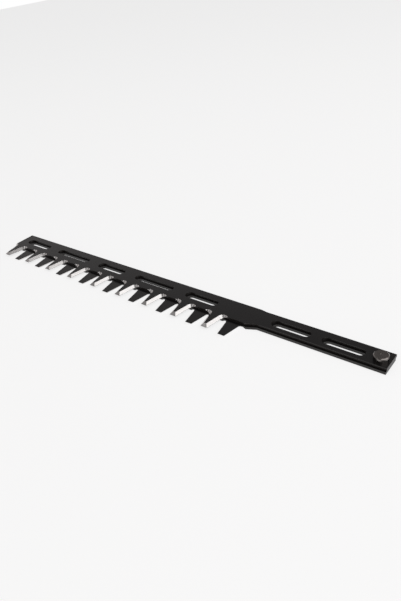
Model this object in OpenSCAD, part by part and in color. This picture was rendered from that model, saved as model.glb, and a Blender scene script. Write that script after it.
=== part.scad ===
// Cutting blade set: two flat toothed blades laid face to face, and the drive pin fixed in the upper one.
// All sizes are millimetres. X runs along the blades, Y towards the plain back edge, Z up.
// The origin is the middle of the whole set's outline, on the plane that the lower blade lies on.

/* [Blade plates] */
// full length of each blade, end to end
blade_l = 441.5; // [436:0.5:450]
// thickness of each blade
blade_t = 2.4; // [1.8:0.1:3]
// from the back edge to the straight floor of the gaps between the teeth
body_d = 23.8; // [22.5:0.1:25]
// from the back edge to the tips of the teeth
tooth_reach = 43; // [40:0.5:46]
// how far the lower blade lies in front of the upper one
lower_forward = 1.7; // [0:0.1:2.5]
// how far the lower blade's slots and steps lie to the right of the upper one's
lower_shift = 1.8; // [0:0.1:2.2]

/* [Teeth] */
// number of teeth on each blade
tooth_count = 9; // [4:1:9]
// distance from one tooth to the next
pitch = 35; // [34:0.1:35]
// width of a tooth across its blunt tip, at the cutting face
tip_w = 6.7; // [5.5:0.1:7.5]
// lean of each flank away from the tooth's own axis
flank_angle = 10.8; // [8:0.1:13]
// radius of the blank in the corner between flank and gap floor
root_r = 3.5; // [3:0.1:4.5]
// left end of the blade to the first tooth of the upper blade
upper_first = 8.9; // [8.5:0.1:9.5]
// left end of the blade to the first tooth of the lower blade
lower_first = 28.2; // [26:0.1:28.2]

/* [Ground bevels] */
// width of the ground bevel on the flanks, in plan
bevel_w = 2.5; // [1.5:0.1:2.8]
// length of the ground bevel on the tip, in plan
tip_bevel = 2.8; // [1.5:0.1:4]
// height of the narrow upright land left along the cutting edge
edge_land = 0.2; // [0.1:0.05:0.4]
// radius of the rounded end of the bevel at the cutting edge
grind_r = 2; // [1.5:0.1:2.4]
// how far the grinding goes on past the straight part of the flank
grind_past = 0.3; // [0.1:0.05:0.6]

/* [Shank] */
// left end of the blade to the start of the slope in the front edge
front_step_x = 318.4; // [318.2:0.2:325]
// left end of the blade to the start of the slope in the back edge
back_step_x = 320.5; // [318:0.5:325]
// length of the slope in the front edge
front_step_l = 8.9; // [6:0.1:12]
// length of the slope in the back edge
back_step_l = 6.3; // [4:0.1:9]
// how far the shank's back edge is set in from the toothed part's back edge
back_step_d = 0.9; // [0.5:0.1:1.5]
// width of the shank
shank_w = 19.1; // [17:0.1:20]

/* [Slots] */
// back edge to the middle line of all the slots
slot_y = 11.4; // [10.5:0.1:12]
// left end of the blade to the middle of the first slot
slot_first = 28.3; // [26:0.1:30]
// middle to middle of the five slots in the toothed part
slot_gap = 58.7; // [56:0.1:60]
// end to end length of the short slots
short_slot_l = 36.5; // [30:0.5:40]
// width of the short slots
short_slot_w = 8.6; // [7:0.1:9]
// end to end length of the two long slots
long_slot_l = 48.5; // [42:0.5:52]
// width of the two long slots
long_slot_w = 7.4; // [6:0.1:8]
// left end of the blade to the middle of the first slot in the shank
shank_slot_x = 356.4; // [354:0.1:358]
// middle to middle of the two slots in the shank
shank_slot_gap = 46.6; // [44:0.1:47]

/* [Drive pin] */
// left end of the blade to the middle of the drive pin
pin_x = 433.4; // [432.5:0.1:434.5]
// radius of the drive pin's head
pin_r = 6; // [5:0.05:6.2]
// height of the drive pin's head above the upper blade
pin_h = 4.2; // [3:0.1:6]
// bevel round the top rim of the head
pin_rim = 0.7; // [0.3:0.05:1]
// radius of the pin's shank in the blade
pin_shank_r = 4; // [3:0.05:4.5]
// bevel of the riveted end of the shank
pin_rivet = 0.6; // [0.3:0.05:0.9]
// radius of the small centre mark in the top of the head
pin_centre_r = 0.9; // [0.5:0.05:1.5]
// depth of the small centre mark
pin_centre_d = 0.5; // [0.2:0.05:1]

/* [Hidden] */
arc_n = 40;
pin_n = 72;
over = 0.6;
under = 0.1;
// the wheel bites this little deeper where it stops at the root
grind_bite = 0.06;
slope = tan(flank_angle);
root_y = -body_d - root_r;
tip_y = -tooth_reach;
// half the width of a tooth at a height y, measured from the back edge
function flank_x(y) = tip_w / 2 + slope * (y - tip_y);
root_x = flank_x(root_y) + root_r / cos(flank_angle);
touch_x = root_x - root_r * cos(flank_angle);
touch_y = root_y + root_r * sin(flank_angle);
// length of the straight flank, from the tip to where the corner's arc starts
flank_l = (touch_y - tip_y) / cos(flank_angle);
bevel_h = blade_t - edge_land;
shank_front = back_step_d + shank_w;
set_x = -blade_l / 2;
set_y = (tooth_reach + lower_forward) / 2;

steel_black = [0.09, 0.085, 0.085];
steel_grey = [0.45, 0.44, 0.42];

// A slot with round ends, lying along X round the point given.
module slot_shape(x, l, w)
{
    translate([x, -slot_y])
    {
        square([l - w, w], center = true);
        for (side = [-1, 1])
        {
            translate([side * (l - w) / 2, 0])
                circle(d = w, $fn = arc_n);
        }
    }
}

// One side of a gap: the space beside a tooth's right flank, as far out as x_far,
// with the round corner where the flank meets the gap's floor.
module beside_tooth(x_far)
{
    polygon([
        [flank_x(tip_y - over), tip_y - over],
        [touch_x, touch_y],
        [root_x, root_y],
        [root_x, -body_d],
        [x_far, -body_d],
        [x_far, tip_y - over]
    ]);
    translate([root_x, root_y])
        circle(r = root_r, $fn = arc_n);
}

// The flat outline of a blade before its edges are ground.
// The left end is X = 0, the back edge Y = 0 and the teeth point along -Y.
// The shift moves the slots and the steps towards the shank's end.
module blank_shape(first, shift)
{
    last = first + (tooth_count - 1) * pitch;
    front_x = front_step_x + shift;
    back_x = back_step_x + shift;
    difference()
    {
        polygon([
            [0, 0],
            [back_x, 0],
            [back_x + back_step_l, -back_step_d],
            [blade_l, -back_step_d],
            [blade_l, -shank_front],
            [front_x + front_step_l, -shank_front],
            [front_x, -body_d],
            [front_x, tip_y],
            [0, tip_y]
        ]);
        // left end, up to the first tooth
        translate([first, 0])
            mirror([1, 0])
            beside_tooth(first + root_x + over);
        // the gaps between the teeth
        for (k = [0 : tooth_count - 2])
        {
            translate([first + k * pitch, 0])
                beside_tooth(pitch / 2 + 0.01);
            translate([first + (k + 1) * pitch, 0])
                mirror([1, 0])
                beside_tooth(pitch / 2 + 0.01);
        }
        // right of the last tooth
        translate([last, 0])
            beside_tooth(front_x - last + over);
        for (k = [0 : 4])
        {
            long = k % 2 == 1;
            slot_shape(
                slot_first + k * slot_gap + shift,
                long ? long_slot_l : short_slot_l,
                long ? long_slot_w : short_slot_w
            );
        }
        for (k = [0, 1])
        {
            slot_shape(
                shank_slot_x + k * shank_slot_gap + shift,
                short_slot_l,
                short_slot_w
            );
        }
    }
}

// What the grinding takes off one flank of a tooth. Its sloping face starts at the land
// above the cutting edge and leans back over the tooth. Past the root corner it runs out
// in a cone, the print of the round grinding wheel, which bites a scallop in the gap's floor.
module flank_grind()
{
    lean = bevel_w / bevel_h;
    low = under + edge_land;
    translate([tip_w / 2, tip_y, 0])
        rotate([0, 0, -flank_angle])
    {
        translate([0, flank_l + grind_past, 0])
            rotate([90, 0, 0])
            linear_extrude(flank_l + grind_past + 2 * over)
            polygon([
                [lean * low, -under],
                [-bevel_w - lean * over, blade_t + over],
                [grind_r, blade_t + over],
                [grind_r, -under]
            ]);
        translate([grind_r, flank_l + grind_past, -under])
            cylinder(
                h = blade_t + under + over,
                r1 = grind_r + grind_bite - lean * low,
                r2 = grind_r + grind_bite + bevel_w + lean * over,
                $fn = arc_n
            );
    }
}

// What the grinding takes off the blunt tip of a tooth.
module tip_grind()
{
    lean = tip_bevel / bevel_h;
    translate([-tip_w, tip_y, 0])
        rotate([90, 0, 90])
        linear_extrude(2 * tip_w)
        polygon([
            [0, edge_land],
            [tip_bevel + lean * over, blade_t + over],
            [-over, blade_t + over],
            [-over, edge_land]
        ]);
}

// A blade with its cutting face on Z = 0 and its ground bevels on the upper side.
module blade(first, shift)
{
    difference()
    {
        linear_extrude(blade_t)
            blank_shape(first, shift);
        for (k = [0 : tooth_count - 1])
        {
            translate([first + k * pitch, 0, 0])
            {
                flank_grind();
                mirror([1, 0, 0])
                    flank_grind();
                tip_grind();
            }
        }
    }
}

// The upper blade: bevels up, with the countersunk hole for the drive pin.
module upper_blade()
{
    color(steel_black)
        translate([set_x, set_y, blade_t])
        difference()
    {
        blade(upper_first, 0);
        translate([pin_x, -slot_y, -over])
            cylinder(h = blade_t + 2 * over, r = pin_shank_r, $fn = pin_n);
        translate([pin_x, -slot_y, 0])
            cylinder(h = pin_rivet, r1 = pin_shank_r + pin_rivet, r2 = pin_shank_r, $fn = pin_n);
    }
}

// The lower blade: the mirror image, bevels down, its teeth between those of the upper one.
module lower_blade()
{
    color(steel_black)
        translate([set_x, set_y - lower_forward, blade_t])
        mirror([0, 0, 1])
        blade(lower_first, lower_shift);
}

// The drive pin: one turned piece, with a round head above the blade and a shank
// that fills the hole and is riveted flush with the blade's cutting face.
module drive_pin()
{
    color(steel_grey)
        translate([set_x + pin_x, set_y - slot_y, blade_t])
        rotate_extrude($fn = pin_n)
        polygon([
            [0, 0],
            [pin_shank_r + pin_rivet, 0],
            [pin_shank_r, pin_rivet],
            [pin_shank_r, blade_t],
            [pin_r, blade_t],
            [pin_r, blade_t + pin_h - pin_rim],
            [pin_r - pin_rim, blade_t + pin_h],
            [pin_centre_r, blade_t + pin_h],
            [0, blade_t + pin_h - pin_centre_d]
        ]);
}

upper_blade();
lower_blade();
drive_pin();
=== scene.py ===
"""Cutting blade set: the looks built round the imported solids, in metres, in the solids' own frame.

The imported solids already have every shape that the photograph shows, so the script adds
no piece: it gives the solids their materials and makes the camera, the floor and the light.
"""

import math

import bpy
from mathutils import Matrix, Vector


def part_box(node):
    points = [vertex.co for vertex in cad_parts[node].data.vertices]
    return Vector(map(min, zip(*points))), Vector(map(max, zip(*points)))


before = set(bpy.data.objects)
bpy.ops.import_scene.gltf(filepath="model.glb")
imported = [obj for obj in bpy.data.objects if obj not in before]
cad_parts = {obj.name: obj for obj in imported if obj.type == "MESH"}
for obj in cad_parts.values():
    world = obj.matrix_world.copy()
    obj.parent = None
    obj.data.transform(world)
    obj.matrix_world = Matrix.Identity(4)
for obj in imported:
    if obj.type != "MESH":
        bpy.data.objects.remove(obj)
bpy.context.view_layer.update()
scene = bpy.context.scene
scene.view_settings.view_transform = "Standard"

# Camera

# The photograph's camera, fitted to the outline points of the blades: its place, and the
# picture's right, down and forward directions.
CAMERA_PLACE = Vector((0.3280, -0.3155, 0.2874))
CAMERA_RIGHT = Vector((0.7897722, 0.60456397, -0.1037414))
CAMERA_DOWN = Vector((0.26644315, -0.49044891, -0.82973967))
CAMERA_FORWARD = Vector((-0.55251056, 0.62766414, -0.54842485))
# The focal length and the picture's height, in pixels, and the sensor's height in mm.
FOCAL_PIXELS = 564.3235
PICTURE_HEIGHT = 601
SENSOR_HEIGHT = 36.0


def photo_camera():
    """A camera whose columns of rotation are right, up and back."""
    data = bpy.data.cameras.new("photo_camera")
    data.sensor_fit = "VERTICAL"
    data.sensor_height = SENSOR_HEIGHT
    data.lens = FOCAL_PIXELS / PICTURE_HEIGHT * SENSOR_HEIGHT
    data.clip_start = 0.01
    data.clip_end = 20.0
    camera = bpy.data.objects.new("photo_camera", data)
    scene.collection.objects.link(camera)
    turn = Matrix((CAMERA_RIGHT, -CAMERA_DOWN, -CAMERA_FORWARD)).transposed()
    camera.matrix_world = Matrix.Translation(CAMERA_PLACE) @ turn.to_4x4()
    scene.camera = camera


# Node trees


class Nodes:
    """Short calls for building a material's node tree."""

    def __init__(self, name):
        self.material = bpy.data.materials.new(name)
        self.material.use_nodes = True
        self.tree = self.material.node_tree
        self.tree.nodes.clear()

    def add(self, kind, **properties):
        """A node of one kind, with its properties set."""
        node = self.tree.nodes.new(kind)
        for key, value in properties.items():
            setattr(node, key, value)
        return node

    def feed(self, socket, value):
        """Links an output to a socket, or sets the socket's own value."""
        if isinstance(value, bpy.types.NodeSocket):
            self.tree.links.new(value, socket)
        else:
            socket.default_value = value

    def math(self, operation, a, b=0.0):
        """One Math node."""
        node = self.add("ShaderNodeMath", operation=operation)
        self.feed(node.inputs[0], a)
        self.feed(node.inputs[1], b)
        return node.outputs[0]

    def ramp(self, value, low, high, to_low, to_high):
        """A value carried smoothly from one range to another."""
        node = self.add("ShaderNodeMapRange", interpolation_type="SMOOTHSTEP")
        self.feed(node.inputs["Value"], value)
        self.feed(node.inputs["From Min"], low)
        self.feed(node.inputs["From Max"], high)
        self.feed(node.inputs["To Min"], to_low)
        self.feed(node.inputs["To Max"], to_high)
        return node.outputs["Result"]

    def mix(self, kind, share, a, b):
        """A mix of two colours (kind RGBA) or two numbers (kind FLOAT)."""
        node = self.add("ShaderNodeMix", data_type=kind)
        self.feed(node.inputs["Factor"], share)
        self.feed(node.inputs["A"], a)
        self.feed(node.inputs["B"], b)
        return node.outputs["Result"]

    def place(self, scale=(1, 1, 1), shift=(0, 0, 0)):
        """Object coordinates, scaled and shifted."""
        where = self.add("ShaderNodeTexCoord")
        mapping = self.add("ShaderNodeMapping")
        mapping.inputs["Scale"].default_value = scale
        mapping.inputs["Location"].default_value = shift
        self.feed(mapping.inputs["Vector"], where.outputs["Object"])
        return mapping.outputs["Vector"]

    def noise(self, vector, scale, detail, rough=0.5):
        """Noise between 0 and 1."""
        node = self.add("ShaderNodeTexNoise")
        self.feed(node.inputs["Vector"], vector)
        node.inputs["Scale"].default_value = scale
        node.inputs["Detail"].default_value = detail
        node.inputs["Roughness"].default_value = rough
        return node.outputs["Fac"]

    def bump(self, height, strength, distance):
        """A bumped normal."""
        node = self.add("ShaderNodeBump")
        node.inputs["Strength"].default_value = strength
        node.inputs["Distance"].default_value = distance
        self.feed(node.inputs["Height"], height)
        return node.outputs["Normal"]

    def surface(self, **sockets):
        """The Principled surface and the output."""
        shader = self.add("ShaderNodeBsdfPrincipled")
        for key, value in sockets.items():
            self.feed(shader.inputs[key.replace("_", " ")], value)
        out = self.add("ShaderNodeOutputMaterial")
        self.feed(out.inputs["Surface"], shader.outputs[0])
        return self.material


# Materials

# The upright share of a face's normal: below the first the face is a stamped wall, and
# between the two it is a ground bevel. Above the second it is rolled flat.
WALL_BELOW = 0.3
FLAT_ABOVE = 0.97

COAT_DARK = (0.0042, 0.0036, 0.0038, 1)
COAT_PALE = (0.0058, 0.0049, 0.0050, 1)
WALL_COAT = (0.012, 0.0095, 0.0085, 1)
COAT_ROUGHNESS = (0.20, 0.25)
WALL_ROUGHNESS = 0.38
GROUND_DARK = (0.60, 0.58, 0.57, 1)
GROUND_PALE = (0.78, 0.76, 0.75, 1)
GROUND_ROUGHNESS = 0.24
# Stretched so that the wheel's fine scratches lie along the teeth.
STREAK_SCALE = (900, 60, 900)

PIN_DARK = (0.16, 0.15, 0.14, 1)
PIN_PALE = (0.24, 0.22, 0.21, 1)
PIN_ROUGHNESS = (0.16, 0.24)
PIN_RING_SCALE = 1400.0

# The part of a noise's range that a material spreads over its own range.
NOISE_LOW, NOISE_HIGH = 0.3, 0.7


def blade_steel(name):
    """Satin black coating on the rolled and stamped faces, bright steel where the wheel
    has ground the edges, told apart by how steep the face is."""
    n = Nodes(name)
    shape = n.add("ShaderNodeNewGeometry")
    split = n.add("ShaderNodeSeparateXYZ")
    n.feed(split.inputs[0], shape.outputs["True Normal"])
    upright = n.math("ABSOLUTE", split.outputs["Z"])
    ground = n.math(
        "MULTIPLY",
        n.math("GREATER_THAN", upright, WALL_BELOW),
        n.math("LESS_THAN", upright, FLAT_ABOVE),
    )
    wall = n.math("LESS_THAN", upright, WALL_BELOW)
    cloud = n.noise(n.place(), 90.0, 3.0)
    grain = n.noise(n.place(), 3000.0, 2.0)
    streak = n.noise(n.place(scale=STREAK_SCALE), 1.0, 3.0, 0.6)
    coat = n.mix("RGBA", cloud, COAT_DARK, COAT_PALE)
    coat = n.mix("RGBA", wall, coat, WALL_COAT)
    steel = n.mix("RGBA", streak, GROUND_DARK, GROUND_PALE)
    relief = n.mix("FLOAT", ground, grain, streak)
    coat_rough = n.ramp(cloud, NOISE_LOW, NOISE_HIGH, *COAT_ROUGHNESS)
    coat_rough = n.mix("FLOAT", wall, coat_rough, WALL_ROUGHNESS)
    return n.surface(
        Base_Color=n.mix("RGBA", ground, coat, steel),
        Metallic=ground,
        Roughness=n.mix("FLOAT", ground, coat_rough, GROUND_ROUGHNESS),
        Normal=n.bump(relief, 0.12, 0.00002),
    )


def turned_steel(name):
    """Lathe-turned steel with fine rings about the pin's axis."""
    n = Nodes(name)
    lo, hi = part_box("drive_pin")
    centred = n.place(shift=(-(lo[0] + hi[0]) / 2, -(lo[1] + hi[1]) / 2, 0))
    rings = n.add("ShaderNodeTexWave", wave_type="RINGS", rings_direction="Z")
    n.feed(rings.inputs["Vector"], centred)
    rings.inputs["Scale"].default_value = PIN_RING_SCALE
    rings.inputs["Distortion"].default_value = 1.0
    cloud = n.noise(n.place(), 300.0, 3.0)
    return n.surface(
        Base_Color=n.mix("RGBA", cloud, PIN_DARK, PIN_PALE),
        Metallic=1.0,
        Roughness=n.ramp(cloud, NOISE_LOW, NOISE_HIGH, *PIN_ROUGHNESS),
        Normal=n.bump(rings.outputs["Fac"], 0.3, 0.00003),
    )


def dress(node, material):
    """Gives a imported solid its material."""
    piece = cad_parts[node]
    piece.data.materials.clear()
    piece.data.materials.append(material)


# Floor, world and lights

FLOOR_REACH = 3.0
# The floor lies this little under the part, so that the two don't flicker.
FLOOR_DROP = 0.0002
FLOOR_COLOUR = (0.30, 0.30, 0.30, 1)
FLOOR_GLOW = 0.75
WHITE = (1, 1, 1, 1)

ROOM_TINT = (1.0, 0.965, 0.96, 1)
# The room's light falls from the first strength to the second between these two heights
# of a direction, counted from 0 at the horizon to 1 overhead.
ROOM_HEIGHTS = (0.30, 0.75)
ROOM_STRENGTHS = (0.55, 0.12)


def white_floor():
    """A pale floor that the camera and the metal see as white, with the part's shadow."""
    mesh = bpy.data.meshes.new("floor")
    corners = [(-1, -1), (1, -1), (1, 1), (-1, 1)]
    mesh.from_pydata(
        [(FLOOR_REACH * x, FLOOR_REACH * y, 0) for x, y in corners], [], [(0, 1, 2, 3)]
    )
    floor = bpy.data.objects.new("floor", mesh)
    floor.location.z = -FLOOR_DROP
    scene.collection.objects.link(floor)
    n = Nodes("floor_white")
    path = n.add("ShaderNodeLightPath")
    seen = n.math("MAXIMUM", path.outputs["Is Camera Ray"], path.outputs["Is Glossy Ray"])
    diffuse = n.add("ShaderNodeBsdfDiffuse")
    diffuse.inputs["Color"].default_value = FLOOR_COLOUR
    glow = n.add("ShaderNodeEmission")
    glow.inputs["Color"].default_value = WHITE
    n.feed(glow.inputs["Strength"], n.math("MULTIPLY", seen, FLOOR_GLOW))
    both = n.add("ShaderNodeAddShader")
    n.feed(both.inputs[0], diffuse.outputs[0])
    n.feed(both.inputs[1], glow.outputs[0])
    out = n.add("ShaderNodeOutputMaterial")
    n.feed(out.inputs["Surface"], both.outputs[0])
    mesh.materials.append(n.material)


def studio_world():
    """White to the camera. To everything else a dim room, paler towards the horizon."""
    world = bpy.data.worlds.new("studio")
    scene.world = world
    world.use_nodes = True
    nodes, links = world.node_tree.nodes, world.node_tree.links
    nodes.clear()
    path = nodes.new("ShaderNodeLightPath")
    where = nodes.new("ShaderNodeTexCoord")
    split = nodes.new("ShaderNodeSeparateXYZ")
    links.new(where.outputs["Generated"], split.inputs[0])
    fall = nodes.new("ShaderNodeMapRange")
    fall.inputs["From Min"].default_value = ROOM_HEIGHTS[0]
    fall.inputs["From Max"].default_value = ROOM_HEIGHTS[1]
    fall.inputs["To Min"].default_value = ROOM_STRENGTHS[0]
    fall.inputs["To Max"].default_value = ROOM_STRENGTHS[1]
    links.new(split.outputs["Z"], fall.inputs["Value"])
    room = nodes.new("ShaderNodeBackground")
    room.inputs["Color"].default_value = ROOM_TINT
    links.new(fall.outputs["Result"], room.inputs["Strength"])
    white = nodes.new("ShaderNodeBackground")
    white.inputs["Color"].default_value = WHITE
    white.inputs["Strength"].default_value = 1.0
    mix = nodes.new("ShaderNodeMixShader")
    links.new(path.outputs["Is Camera Ray"], mix.inputs["Fac"])
    links.new(room.outputs[0], mix.inputs[1])
    links.new(white.outputs[0], mix.inputs[2])
    out = nodes.new("ShaderNodeOutputWorld")
    links.new(mix.outputs[0], out.inputs["Surface"])


def softbox(name, azimuth, elevation, distance, width, height, power):
    """An area lamp that faces the middle of the part. Azimuth is counted from +X."""
    a, e = math.radians(azimuth), math.radians(elevation)
    place = distance * Vector(
        (math.cos(e) * math.cos(a), math.cos(e) * math.sin(a), math.sin(e))
    )
    data = bpy.data.lights.new(name, "AREA")
    data.shape = "RECTANGLE"
    data.size, data.size_y = width, height
    data.energy = power
    lamp = bpy.data.objects.new(name, data)
    lamp.location = place
    lamp.rotation_euler = (-place).to_track_quat("-Z", "Y").to_euler()
    scene.collection.objects.link(lamp)


photo_camera()
blade_finish = blade_steel("coated_and_ground_steel")
dress("upper_blade", blade_finish)
dress("lower_blade", blade_finish)
dress("drive_pin", turned_steel("turned_pin_steel"))
white_floor()
studio_world()
# Degrees round and up, then metres away, wide and high, then watts.
softbox("right_softbox", -5, 45, 2.0, 2.6, 2.0, 23)
softbox("left_softbox", 222, 62, 2.0, 0.9, 0.8, 2.2)
